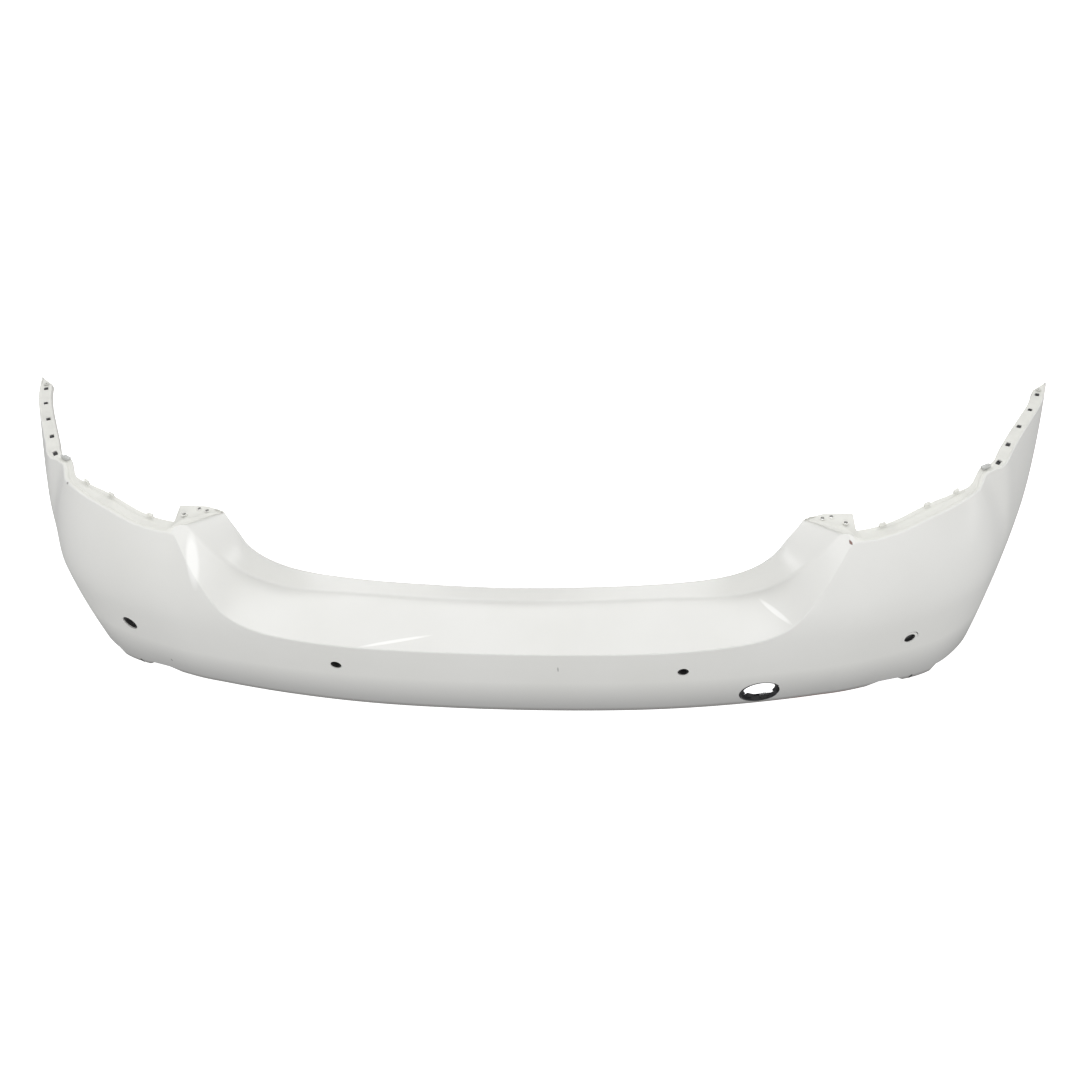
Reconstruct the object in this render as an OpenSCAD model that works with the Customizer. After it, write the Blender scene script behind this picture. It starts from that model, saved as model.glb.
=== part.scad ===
// Rear bumper cover for a large saloon, with the small parts that stay on it.
// +X is to the right seen from behind the car, +Y is forward, +Z is up.
// The cover stands on its lower edge, with the origin under the middle of its box.

/* [Overall size] */
// Width across the two forward tips
body_w = 1850; // [1750:10:1950]
// Depth from the rearmost crease to the forward tips
body_d = 564; // [524:2:604]
// Height of the shelf crease above the lower edge
crease_h = 180; // [172:1:190]

/* [Moulding] */
// Thickness of the moulded wall
wall = 3; // [2.5:0.1:3.5]
// Radius of the roll under the lower edge
roll_r = 16; // [12:1:18]
// Width of the lower lip
lip_w = 24; // [18:1:30]
// How far the lip sits above the lower edge
lip_step = 5; // [4:0.5:7]
// Radius of the wheel arch
arch_r = 370; // [350:5:400]
// Width of the flange under the tail lamp
lamp_flange_w = 24; // [20:1:28]
// Width of the flange under the quarter panel
quarter_flange_w = 21; // [18:1:26]

/* [Parking sensors] */
// Radius of the two inner sensor holes in the skin
inner_hole_r = 9; // [8:0.5:10]
// Radius of the two outer sensor holes in the skin
outer_hole_r = 14; // [13:0.5:15]
// Radius of the socket that takes the sensor body
socket_r = 11; // [10:0.5:12]
// Depth of the holder behind the skin
holder_depth = 18; // [14:1:24]

/* [Towing eye] */
// Radius of the opening in the skin
tow_hole_r = 33.5; // [30:0.5:34]
// Depth of the black frame behind the skin
tow_depth = 6; // [5:0.5:8]

/* [Fixings] */
// Radius of the holes in the ear plates
ear_hole_r = 3; // [2:0.5:4]
// Length of the windows in the quarter flange
window_l = 11; // [8:1:14]
// Width of the windows in the quarter flange
window_w = 7; // [5:0.5:8]
// Radius of the rivet's shank at each tip
rivet_r = 2.4; // [2:0.1:3]

/* [Hidden] */
$fn = 48;
eps = 0.01;

// The rails are drawn at the nominal size and scaled to the driving dimensions.
NOMINAL = [1850, 564];
kx = body_w / NOMINAL[0];
ky = body_d / NOMINAL[1];

// Places along the half cover, counted in control points from the middle.
P_EAR = 8;        // outer corner of the ear, where the lid opening ends
P_LAMP = 13;      // forward corner of the tail lamp
P_QUARTER = 14;   // rear end of the quarter flange
P_TIP = 20;       // forward tip at the wheel arch
P_INNER = 2.33;   // inner sensor
P_OUTER = 9.31;   // outer sensor
P_TOW = 4.06;     // towing eye
P_TAB = 9.64;     // lower tab behind the outer sensor
Z_INNER = -50;    // heights below the shelf crease
Z_OUTER = -43;
Z_TOW = -133;
Z_ROLL = roll_r - crease_h;

// Plan of the fascia at the height of the shelf crease, from the middle to the tip.
PLAN = [
    [0, 0], [130, 2], [245, 8], [340, 18], [405, 27], [447, 34], [486, 41], [521, 48],
    [552, 55], [613, 76], [698, 112], [756, 160], [784, 203], [804, 241], [815, 262],
    [838, 308], [862, 360], [884, 415], [903, 467], [919, 515], [931, 560]
];
// Height of the fascia's upper edge over the crease: shelf, lid opening, lamp, quarter.
TOP_Z = [
    0, 0, 0, 4, 15, 38, 76, 104, 122, 128, 140, 148, 151, 152, 155, 153, 147, 137, 124, 114, 108
];
// How far the upper fascia leans forward, against the lean at the middle.
LEAN = [
    1, 1, 1, 1, 1, 1, 1, 1.1, 1.15, 0.95, 0.91, 0.83, 0.79, 0.8, 0.52, 0.5, 0.47, 0.4, 0.31, 0.23, 0.18
];
// How far the lower fascia tucks in, against the undercut at the middle.
UNDERCUT = [
    1, 1, 1, 1, 1, 1, 1, 1, 0.95, 0.8, 0.35, 0.45, 0.45, 0.45, 0.45, 0.45, 0.45, 0.45, 0.45, 0.45, 0.45
];
// Foot of the inner wall, where the shelf ends, from the middle to the ear.
WALL_FOOT = [
    [0, 107, 5], [128, 108, 5], [238, 113, 7], [325, 117, 10], [384, 120, 22],
    [424, 120, 45], [460, 122, 78], [493, 136, 106], [523, 160, 127]
];
// Top edge of the inner wall, from the middle to the ear.
WALL_TOP = [
    [0, 114, 28], [130, 119, 28], [245, 127, 30], [330, 131, 41], [382, 129, 66],
    [416, 133, 95], [437, 152, 114], [451, 167, 123], [461, 180, 128]
];
// Far edge of the ear plate, at the end of the wall and at its outer corner.
EAR_INNER = [492, 192, 128];
EAR_OUTER = [538, 193, 128];
// Holes in the right ear plate.
EAR_HOLES = [[525, 173], [504, 186], [490, 182]];

// ---- curves ----

// A smooth curve through control points, with a sharp point at each corner listed.
function curve(points, u, corners = []) =
    let (last = len(points) - 1, i = min(floor(u), last - 1), t = u - i)
    let (a = points[i], b = points[i + 1])
    let (before = i == 0 ? mirrored(points[1]) : is_corner(i, corners) ? 2 * a - b : points[i - 1])
    let (after = i + 2 > last || is_corner(i + 1, corners) ? 2 * b - a : points[i + 2])
    a + t / 2 * ((b - before) + t * (2 * before - 5 * a + 4 * b - after
        + t * (3 * (a - b) + after - before)));
function is_corner(i, corners) = len([for (c = corners) if (c == i) c]) > 0;
function mirrored(p) = is_list(p) ? [-p[0], for (k = [1:len(p) - 1]) p[k]] : p;
function unit(v) = v / norm(v);
function mix(a, b, t) = a + (b - a) * t;
function ease(t) = t <= 0 ? 0 : t >= 1 ? 1 : t * t * (3 - 2 * t);

// ---- the fascia, as a surface over place p along the cover and height z ----

function plan(p) = let (c = curve(PLAN, p)) [c[0] * kx, c[1] * ky];
function inward(p) =
    let (d = unit(plan(min(p + 0.1, P_TIP)) - plan(max(p - 0.1, 0))))
    p < 0.1 ? [0, 1] : [-d[1], d[0]];
// Undercut below the crease, and forward lean above it: rounder at the middle than at the sides.
function lean_power(p) = 2.2 - 0.2 * min(3, max(0, p - 9));
function offset_at(p, z) =
    z < 0 ? curve(UNDERCUT, p) * 0.0008 * z * z
    : curve(LEAN, p) * 20 * pow(z / 70, lean_power(p));
function fascia(p, z) =
    let (c = plan(p) + inward(p) * offset_at(p, z))
    [c[0], c[1], z];
function fascia_normal(p, z) =
    let (along = fascia(p + 0.05, z) - fascia(p - 0.05, z))
    let (up = fascia(p, z + 1) - fascia(p, z - 1))
    unit(cross(along, up));
function top_z(p) = curve(TOP_Z, p, [P_EAR, P_LAMP, P_QUARTER]);
// The lower edge: level in the middle, cut up on both sides of the lower tab.
RISE = [
    [8.7, 0], [9, 9], [9.4, 9], [9.52, 0], [10.1, 0], [10.22, 13], [10.8, 9], [11.5, 4], [12.5, 0]
];
function low_z(p) = Z_ROLL + lookup(p, RISE);

// Wheel arch, as the place along the cover where the arch cuts the height z.
ARCH_Y = 764;
ARCH_Z = -200;
function arch_y(z) = ARCH_Y - sqrt(max(0, arch_r * arch_r - pow(z - ARCH_Z, 2)));
PLACE_AT_Y = [for (i = [P_LAMP:P_TIP]) [PLAN[i][1], i]];
function arch_p(z) = min(P_TIP, lookup(arch_y(z), PLACE_AT_Y));
// Station lines run straight down at first, then fan out to follow the arch.
function place(p, z) =
    p <= P_LAMP ? p : P_LAMP + (p - P_LAMP) * (arch_p(z) - P_LAMP) / (P_TIP - P_LAMP);
function skin(p, z) = fascia(place(p, z), z);

// ---- one section of the moulding, from its inner edge to the lower lip ----

FASCIA_STEPS = 9;
FOOT_W = 5; // flat strip at the very bottom, that the cover stands on
function ledge(edge, dir, across, down) = [
    edge[0] + dir[0] * across, edge[1] + dir[1] * across, edge[2] - down
];
// The lamp flange narrows toward the lamp's corner, and reaches forward past its edge there.
LAMP_NARROW = [[10.5, 1], [11.5, 0.75], [12.3, 0.4], [13, 0.35]];
LAMP_REACH = 14;
function lamp_ledge(p) =
    let (e = skin(p, top_z(p)), n = inward(p), w = lamp_flange_w * lookup(p, LAMP_NARROW) + 6)
    let (ahead = [n[1], -n[0], 0] * LAMP_REACH * ease(p - 12))
    [ledge(e, n, w, 4) + ahead, ledge(e, n, 8, 5) + ahead * 0.2, ledge(e, n, 6, 1)];
// The quarter flange ends at the tip on a slant, set back along its inner edge.
TIP_SLANT = 26;
function quarter_ledge(p) =
    let (e = skin(p, top_z(p)), n = inward(p), w = quarter_flange_w)
    let (back = [-n[1], n[0], 0] * TIP_SLANT * ease((p - 19.2) / 0.8))
    [ledge(e, n, w + 1, 12) + back, ledge(e, n, w, 3) + back, ledge(e, n, 3, 2) + back * 0.1];
function wall_ledge(p) =
    let (foot = curve(WALL_FOOT, p), top = curve(WALL_TOP, p))
    let (plate = max(0, p - EAR_START) / (P_EAR - EAR_START))
    let (rim = mix(top, EAR_INNER, plate), near = mix(foot, top, mix(0.88, 1, plate)))
    [for (q = [rim, near, foot]) [q[0] * kx, q[1] * ky, q[2]]];
function blend(a, b, t) = [for (i = [0:len(a) - 1]) mix(a[i], b[i], t)];
EAR_START = P_EAR - 0.15;
EAR_TURN = P_EAR + 0.2;
EAR_END = P_EAR + 0.4;
function inner_ledge(p) =
    p <= P_EAR ? wall_ledge(p)
    : p < EAR_END - eps ? let (b = blend(wall_ledge(P_EAR), lamp_ledge(EAR_END), 0.5))
        [[EAR_OUTER[0] * kx, EAR_OUTER[1] * ky, EAR_OUTER[2]], mix(b[1], b[2], 0.35), b[2]]
    : p <= P_LAMP ? lamp_ledge(p)
    : p < P_QUARTER ? blend(lamp_ledge(P_LAMP), quarter_ledge(P_QUARTER), p - P_LAMP)
    : quarter_ledge(p);
function fascia_rows(p) =
    let (z1 = top_z(p))
    [for (k = [0:FASCIA_STEPS]) skin(p, mix(z1, low_z(p), k / FASCIA_STEPS))];
function roll_rows(p) =
    let (e = skin(p, low_z(p)), n = inward(place(p, low_z(p))))
    [for (a = [30:30:90]) ledge(e, n, roll_r * (1 - cos(a)), roll_r * sin(a)),
     ledge(e, n, roll_r + FOOT_W, roll_r)];
function lip_rows(p) =
    let (e = skin(p, low_z(p)), n = inward(place(p, low_z(p))), h = roll_r - lip_step)
    [ledge(e, n, roll_r + FOOT_W + 5, h), ledge(e, n, roll_r + lip_w, h)];
function ledge_rows(p) =
    let (l = inner_ledge(p), e = skin(p, top_z(p)))
    [l[0], l[1], mix(l[1], l[2], 0.5), l[2], mix(l[2], e, 0.5)];
function section(p) = concat(ledge_rows(p), fascia_rows(p), roll_rows(p), lip_rows(p));
// The last section, turned inward between its two ends as the flange of the wheel arch.
ARCH_FLANGE = 12;
TIP_HEM = 3;
function arch_section() =
    let (s = section(P_TIP), d = unit(plan(P_TIP) - plan(P_TIP - 0.2)), first = 5, last = 5 + FASCIA_STEPS)
    [for (i = [0:len(s) - 1])
        let (turn = i <= first || i >= last ? 0 : min(1, 0.6 * min(i - first, last - i)))
        let (n = inward(place(P_TIP, s[i][2])))
        s[i] + [d[0], d[1], 0] * TIP_HEM * (i < first + 2 ? 1 : 0.3)
            + [n[0], n[1], 0] * ARCH_FLANGE * turn];

STATIONS = [
    for (p = [0:0.5:P_EAR - 0.5]) p, EAR_START, P_EAR,
    EAR_TURN, EAR_END,
    8.7, 9, 9.2, 9.4, 9.52, 9.8, 10.1, 10.22, 10.5, 10.8, 11.2, 11.7, 12.2, 12.6,
    P_LAMP, P_LAMP + 0.5, P_QUARTER,
    for (p = [P_QUARTER + 0.5:0.5:P_TIP]) p
];

// ---- shells ----

function flip(s) = [for (q = s) [-q[0], q[1], q[2]]];
function reversed(l) = [for (i = [len(l) - 1:-1:0]) l[i]];
function grid_normal(g, i, j) =
    let (n = len(g) - 1, m = len(g[0]) - 1)
    let (u = unit(g[min(i + 1, n)][j] - g[i][j] + (i < n ? [0, 0, 0] : g[i][j] - g[i - 1][j])))
    let (u0 = unit(g[i][j] - g[max(i - 1, 0)][j] + (i > 0 ? [0, 0, 0] : g[1][j] - g[0][j])))
    let (v = unit(g[i][min(j + 1, m)] - g[i][j] + (j < m ? [0, 0, 0] : g[i][j] - g[i][j - 1])))
    let (v0 = unit(g[i][j] - g[i][max(j - 1, 0)] + (j > 0 ? [0, 0, 0] : g[i][1] - g[i][0])))
    unit(unit(cross(u, v)) + unit(cross(u0, v)) + unit(cross(u, v0)) + unit(cross(u0, v0)));

// A closed shell: a grid of outer points, the same grid moved inward, and its rim.
module shell(outer, thickness) {
    n = len(outer);
    m = len(outer[0]);
    inner = [for (i = [0:n - 1]) [for (j = [0:m - 1]) outer[i][j] + thickness * grid_normal(outer, i, j)]];
    points = [for (s = outer) each s, for (s = inner) each s];
    base = n * m;
    rim = concat(
        [for (i = [0:n - 1]) i * m], [for (j = [1:m - 1]) (n - 1) * m + j],
        [for (i = [n - 2:-1:0]) i * m + m - 1], [for (j = [m - 2:-1:1]) j]
    );
    polyhedron(
        points = points,
        faces = [
            for (i = [0:n - 2], j = [0:m - 2]) let (a = i * m + j)
                each i < n / 2 - 1 ? [[a, a + m, a + m + 1], [a, a + m + 1, a + 1]]
                    : [[a, a + m, a + 1], [a + 1, a + m, a + m + 1]],
            for (i = [0:n - 2], j = [0:m - 2]) let (a = base + i * m + j)
                each i < n / 2 - 1 ? [[a, a + m + 1, a + m], [a, a + 1, a + m + 1]]
                    : [[a, a + 1, a + m], [a + 1, a + m + 1, a + m]],
            for (k = [0:len(rim) - 1]) let (a = rim[k], b = rim[(k + 1) % len(rim)])
                each [[a, a + base, b], [b, a + base, b + base]]
        ],
        convexity = 12
    );
}

// ---- placing ----

// From the crease at the middle to the row's frame.
module seat() translate([0, -body_d / 2, crease_h]) children();
// A frame with its z axis along the outward normal of the fascia.
module on_fascia(p, z) {
    c = fascia(p, z);
    n = fascia_normal(p, z);
    a = unit(cross([0, 0, 1], n));
    b = cross(n, a);
    multmatrix([
        [a[0], b[0], n[0], c[0]], [a[1], b[1], n[1], c[1]], [a[2], b[2], n[2], c[2]], [0, 0, 0, 1]
    ]) children();
}
// A frame on the upper edge: x along the edge, y inward across the ledge, z up.
module on_edge(p, across, down) {
    c = skin(p, top_z(p));
    d = unit(skin(min(p + 0.1, P_TIP), top_z(min(p + 0.1, P_TIP))) - skin(p - 0.1, top_z(p - 0.1)));
    n = inward(p);
    b = unit([n[0], n[1], 0] - d * (d * [n[0], n[1], 0]));
    u = cross(d, b);
    o = c + b * across - [0, 0, down];
    multmatrix([
        [d[0], b[0], u[0], o[0]], [d[1], b[1], u[1], o[1]], [d[2], b[2], u[2], o[2]], [0, 0, 0, 1]
    ]) children();
}
// A frame on the lower lip: x along the lip, y inward, z up, at the lip's underside.
module on_lip(p) {
    c = skin(p, Z_ROLL);
    n = inward(p);
    o = c + [n[0], n[1], 0] * (roll_r + lip_w * 0.6) - [0, 0, roll_r - lip_step];
    multmatrix([
        [n[1], n[0], 0, o[0]], [-n[0], n[1], 0, o[1]], [0, 0, 1, o[2]], [0, 0, 0, 1]
    ]) children();
}
module side(s) {
    if (s < 0) mirror([1, 0, 0]) children();
    else children();
}
module ring(r_out, r_in, z0, z1) translate([0, 0, z0]) difference() {
    cylinder(r = r_out, h = z1 - z0);
    translate([0, 0, -1]) cylinder(r = r_in, h = z1 - z0 + 2);
}
module block(size, at) translate(at) cube(size, center = true);

// ---- the moulding ----

HALF = [for (p = STATIONS) section(p), arch_section()];
WINDOWS = [14.1, 15.2, 16.35, 17.65, 19];
WINDOW_ACROSS = 12;
P_RIVET = 19.35;
PAD_H = 5;
PAD_DEPTH = 4.6;
LAMP_TABS = [9, 10.1, 11.2];
LIP_NUTS = [1.2, 2.7, 6.4];

module sensor_hole(s, p, z, r) side(s) on_fascia(p, z) translate([0, 0, -20]) cylinder(r = r, h = 40);
module lamp_tab(p)
    on_edge(p, lamp_flange_w * lookup(p, LAMP_NARROW) + 4, 4) block([10, 4, 9], [0, 0, 1.5]);
module window_cut(p) on_edge(p, WINDOW_ACROSS, 2) block([window_l, window_w, 14], [0, 0, 0]);
// A pad round a hole in the ear plate, proud of it by a little.
module ear_pad(x, y)
    translate([x * kx, y * ky, EAR_OUTER[2] - PAD_DEPTH]) cylinder(r = ear_hole_r + 2.5, h = PAD_H);
module half_extras() {
    for (p = LAMP_TABS) lamp_tab(p);
    for (h = EAR_HOLES) ear_pad(h[0], h[1]);
}
module half_cuts() {
    for (h = EAR_HOLES)
        translate([h[0] * kx, h[1] * ky, EAR_OUTER[2] - 12]) cylinder(r = ear_hole_r, h = 24);
    for (p = WINDOWS) window_cut(p);
    on_edge(P_RIVET, WINDOW_ACROSS, 2) translate([0, 0, -8]) cylinder(r = rivet_r, h = 16);
    for (p = LIP_NUTS) on_lip(p) translate([0, 0, -2]) cylinder(r = 3.5, h = 8);
    on_tab() block([TAB_SLOT_W, TAB_SLOT_L, 24], [0, 0, -2]);
}
// A slanting slot in the face of the lower tab.
TAB_SLOT_W = 4.5;
TAB_SLOT_L = 12;
TAB_SLANT = -35;
module on_tab() on_fascia(P_TAB, 13 - crease_h) rotate(TAB_SLANT) children();
// The lip is cut away behind the towing eye, to let it pass.
module tow_notch() on_lip(P_TOW) block([84, 40, 16], [0, 20 + 6 - 0.6 * lip_w, 0]);

module cover_skin() color([0.95, 0.95, 0.93]) seat() difference() {
    union() {
        shell(concat([for (s = reversed(HALF)) flip(s)], [for (i = [1:len(HALF) - 1]) HALF[i]]), wall);
        for (s = [-1, 1]) side(s) half_extras();
    }
    for (s = [-1, 1]) side(s) half_cuts();
    for (s = [-1, 1]) sensor_hole(s, P_INNER, Z_INNER, inner_hole_r);
    for (s = [-1, 1]) sensor_hole(s, P_OUTER, Z_OUTER, outer_hole_r);
    sensor_hole(1, P_TOW, Z_TOW, tow_hole_r);
    tow_notch();
}

// ---- parking sensors: in each local frame the skin lies between z = -wall and z = 0 ----

SEAL_DEPTH = 4;
BEZEL_GAP = 0.3;
module sensor_holder(s, p, z, hole_r) {
    seal_r = max(hole_r, socket_r) + 1;
    back = -wall - holder_depth;
    color([0.10, 0.10, 0.11]) seat() side(s) on_fascia(p, z) difference() {
        union() {
            translate([0, 0, -wall - 2]) cylinder(r = seal_r + 8, h = 2);
            translate([0, 0, back]) cylinder(r = seal_r + 2, h = holder_depth);
            for (a = [0, 180]) rotate(a)
                block([5, 9, holder_depth - 5], [seal_r + 3.5, 0, back + holder_depth / 2 + 1.5]);
            for (a = [45:90:315]) rotate(a) block([6, 1.6, 8], [seal_r + 4.5, 0, -wall - 5]);
        }
        translate([0, 0, back - 1]) cylinder(r = socket_r, h = holder_depth + 2);
        translate([0, 0, -wall - SEAL_DEPTH]) cylinder(r = seal_r, h = SEAL_DEPTH + 1);
        for (a = [0, 180]) rotate(a) translate([socket_r - 1, -2, back + 3]) cube([seal_r, 4, 5]);
    }
}
module sensor_seal(s, p, z, hole_r, lip_r) {
    seal_r = max(hole_r, socket_r) + 1;
    color([0.05, 0.05, 0.05]) seat() side(s) on_fascia(p, z) difference() {
        union() {
            translate([0, 0, -wall - SEAL_DEPTH]) cylinder(r = seal_r, h = SEAL_DEPTH);
            translate([0, 0, -wall - 0.5]) cylinder(r = lip_r + 1.5, h = 2);
        }
        translate([0, 0, -wall - SEAL_DEPTH - 1]) cylinder(r = lip_r, h = SEAL_DEPTH + 6);
    }
}
module sensor_holder_outer_left() sensor_holder(-1, P_OUTER, Z_OUTER, outer_hole_r);
module sensor_holder_inner_left() sensor_holder(-1, P_INNER, Z_INNER, inner_hole_r);
module sensor_holder_inner_right() sensor_holder(1, P_INNER, Z_INNER, inner_hole_r);
module sensor_holder_outer_right() sensor_holder(1, P_OUTER, Z_OUTER, outer_hole_r);
module sensor_seal_outer_left() sensor_seal(-1, P_OUTER, Z_OUTER, outer_hole_r, 9.5);
module sensor_seal_inner_left() sensor_seal(-1, P_INNER, Z_INNER, inner_hole_r, 7.2);
module sensor_seal_inner_right() sensor_seal(1, P_INNER, Z_INNER, inner_hole_r, 7.2);
module sensor_seal_outer_right() sensor_seal(1, P_OUTER, Z_OUTER, outer_hole_r, 9.5);
// A ring in the body colour that narrows the right outer hole.
module sensor_bezel_outer_right()
    color([0.95, 0.95, 0.93]) seat() on_fascia(P_OUTER, Z_OUTER) union() {
        ring(outer_hole_r - BEZEL_GAP, 11.2, -wall, 0.2);
        ring(outer_hole_r - BEZEL_GAP, 9.5, -0.9, 0.2);
    }

// ---- towing eye: the local frame is the same ----

TOW_RIM = 2;
TOW_COLLAR = 0.6;   // how far the collar stays behind the skin's surface
TOW_STEP = 0.6;     // how much wider the frame is behind the cap's seat
TOW_SEAT = wall + 2;
TOW_ARCS = [[-28, 38, 6], [168, 212, 5]];            // from, to, reach inward
TOW_LUGS = [[236, 11, 14], [58, 4, 5], [124, 3, 6]]; // angle, reach inward, width
LUG_DEPTH = 3;
module wedge(from, to, r) linear_extrude(LUG_DEPTH)
    polygon([[0, 0], for (k = [0:4]) let (a = mix(from, to, k / 4)) [r * cos(a), r * sin(a)]]);
module tow_eye_frame() color([0.08, 0.08, 0.09]) seat() on_fascia(P_TOW, Z_TOW) union() {
    inner = tow_hole_r - TOW_RIM;
    back = -wall - tow_depth;
    ring(tow_hole_r - 0.3, inner, -TOW_SEAT, -TOW_COLLAR);
    ring(tow_hole_r + 7, inner, -TOW_SEAT, -wall);
    ring(tow_hole_r + 1, inner + TOW_STEP, back, -TOW_SEAT);
    for (l = TOW_ARCS) intersection() {
        ring(inner + 1.5, inner - l[2], back, back + LUG_DEPTH);
        translate([0, 0, back]) wedge(l[0], l[1], 2 * inner);
    }
    for (l = TOW_LUGS) rotate(l[0])
        translate([inner + 2 - l[1], -l[2] / 2, back + 0.4]) cube([l[1], l[2], LUG_DEPTH - 0.8]);
}
// Spring catch for the missing cap: an arch standing up from the lower rim.
CATCH_R = 7;
module tow_eye_catch() color([0.45, 0.46, 0.47]) seat() on_fascia(P_TOW, Z_TOW)
    translate([10, 4.5 - tow_hole_r + TOW_RIM, -wall - tow_depth + 0.5]) intersection() {
        ring(CATCH_R, CATCH_R - 2, 0, 2.6);
        block([4 * CATCH_R, 2 * CATCH_R, 10], [0, CATCH_R - 3, 2]);
    }

// ---- quarter flange: a black guide strip under the windows, and a rivet at each tip ----

GUIDE_DEEP = 6;
GUIDE_TOP = 6.5;
GUIDE_FROM = 14.1;
GUIDE_TO = 19.48;
function guide_section(p) =
    let (e = skin(p, top_z(p)), n = inward(p))
    [ledge(e, n, 6, GUIDE_TOP), ledge(e, n, 17, GUIDE_TOP), ledge(e, n, 17, GUIDE_TOP + GUIDE_DEEP),
     ledge(e, n, 6, GUIDE_TOP + GUIDE_DEEP)];
module bar(sections) {
    n = len(sections);
    m = len(sections[0]);
    polyhedron(
        points = [for (s = sections) each s],
        faces = [
            [for (j = [m - 1:-1:0]) j], [for (j = [0:m - 1]) (n - 1) * m + j],
            for (i = [0:n - 2], j = [0:m - 1]) let (a = i * m + j, b = i * m + (j + 1) % m)
                each [[a, b, a + m], [b, b + m, a + m]]
        ]
    );
}
module quarter_guide(s) color([0.07, 0.07, 0.07]) seat() side(s) difference() {
    union() {
        bar([for (p = [GUIDE_FROM:0.5:GUIDE_TO]) guide_section(p), guide_section(GUIDE_TO)]);
        for (p = WINDOWS) on_edge(p, WINDOW_ACROSS, 2)
            block([window_l * 0.45, window_w - 1, 10], [-window_l * 0.2, 0, -4]);
    }
    on_edge(P_RIVET, WINDOW_ACROSS, 2) translate([0, 0, -20]) cylinder(r = rivet_r, h = 40);
}
module quarter_guide_left() quarter_guide(-1);
module quarter_guide_right() quarter_guide(1);
module tip_rivet(s) color([0.75, 0.75, 0.73]) seat() side(s) on_edge(P_RIVET, WINDOW_ACROSS, 2)
    difference() {
        union() {
            translate([0, 0, 0.6]) cylinder(r = 2 * rivet_r, h = 1.4);
            translate([0, 0, -GUIDE_DEEP - 6]) cylinder(r = rivet_r - 0.05, h = GUIDE_DEEP + 7);
            translate([0, 0, -GUIDE_DEEP - 6.9]) cylinder(r = 1.7 * rivet_r, h = 1.6);
        }
        translate([0, 0, -GUIDE_DEEP - 12]) cylinder(r = rivet_r * 0.55, h = GUIDE_DEEP + 20);
    }
module tip_rivet_left() tip_rivet(-1);
module tip_rivet_right() tip_rivet(1);

// ---- clips ----

P_LAMP_CLIP = 13.2;
module lamp_corner_clip(s) color([0.55, 0.56, 0.57]) seat() side(s)
    on_edge(P_LAMP_CLIP, 13, 4) union() {
        block([13, 9, 1.6], [0, 0, 1]);
        block([13, 1.6, 7], [0, -3.7, 4]);
        translate([0, -4.5, 7.5]) rotate([-90, 0, 0]) ring(4, 2.2, 0, 1.6);
    }
module lamp_corner_clip_left() lamp_corner_clip(-1);
module lamp_corner_clip_right() lamp_corner_clip(1);

// A clip in the slot of the lower tab.
module corner_clip(s) color([0.10, 0.10, 0.11]) seat() side(s) on_tab() union() {
    block([TAB_SLOT_W + 8, TAB_SLOT_L + 4, 1.5], [0, 0, -wall - 4]);
    block([TAB_SLOT_W - 1.2, TAB_SLOT_L - 4, 5], [0, -1, -wall - 1]);
}
module corner_clip_nut_left() corner_clip(-1);
module corner_clip_nut_right() corner_clip(1);

// Spring nuts folded over the lower lip, with a collar for the screw.
NUT_T = 1.2;
module clip_nut() difference() {
    union() {
        block([14, 20, NUT_T], [0, 2, wall + NUT_T / 2]);
        block([14, 20, NUT_T], [0, 2, -NUT_T / 2]);
        block([14, NUT_T, wall + 2 * NUT_T], [0, 12 - NUT_T / 2, wall / 2]);
        translate([0, 0, wall]) cylinder(r = 4.5, h = 6);
    }
    translate([0, 0, -5]) cylinder(r = 2.6, h = 20);
}
module lower_edge_clip_nuts() color([0.30, 0.31, 0.32]) seat()
    for (s = [-1, 1], p = LIP_NUTS) side(s) on_lip(p) clip_nut();

cover_skin();
sensor_holder_outer_left();
sensor_holder_inner_left();
sensor_holder_inner_right();
sensor_holder_outer_right();
sensor_seal_outer_left();
sensor_seal_inner_left();
sensor_seal_inner_right();
sensor_seal_outer_right();
sensor_bezel_outer_right();
tow_eye_frame();
tow_eye_catch();
quarter_guide_left();
quarter_guide_right();
tip_rivet_left();
tip_rivet_right();
lamp_corner_clip_left();
lamp_corner_clip_right();
corner_clip_nut_left();
corner_clip_nut_right();
lower_edge_clip_nuts();
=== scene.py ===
"""Looks for a rear bumper cover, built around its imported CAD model.

The moulding is drawn again as one fine, smooth shell over the rails that its CAD node follows.
Rails are in millimetres, in the design's own frame: from the shelf crease at the middle,
+X to the right seen from behind the car, +Y forward, +Z up. Everything else is in metres.
"""
import math

import bmesh
import bpy
import numpy as np
from mathutils import Matrix, Vector


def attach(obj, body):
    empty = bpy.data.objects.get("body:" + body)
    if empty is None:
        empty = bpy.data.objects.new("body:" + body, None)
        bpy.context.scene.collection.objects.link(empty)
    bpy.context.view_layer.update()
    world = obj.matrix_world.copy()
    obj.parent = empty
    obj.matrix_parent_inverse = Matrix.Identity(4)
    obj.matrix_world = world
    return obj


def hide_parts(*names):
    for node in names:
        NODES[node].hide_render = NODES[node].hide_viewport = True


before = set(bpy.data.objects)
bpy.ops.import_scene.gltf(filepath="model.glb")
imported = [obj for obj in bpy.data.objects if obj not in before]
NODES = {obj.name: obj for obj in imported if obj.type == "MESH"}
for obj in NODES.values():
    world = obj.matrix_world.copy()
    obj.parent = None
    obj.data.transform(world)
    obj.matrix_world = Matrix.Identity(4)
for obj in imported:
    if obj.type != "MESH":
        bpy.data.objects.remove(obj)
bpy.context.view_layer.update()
MM = 0.001

# ---- driving dimensions ----

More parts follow.
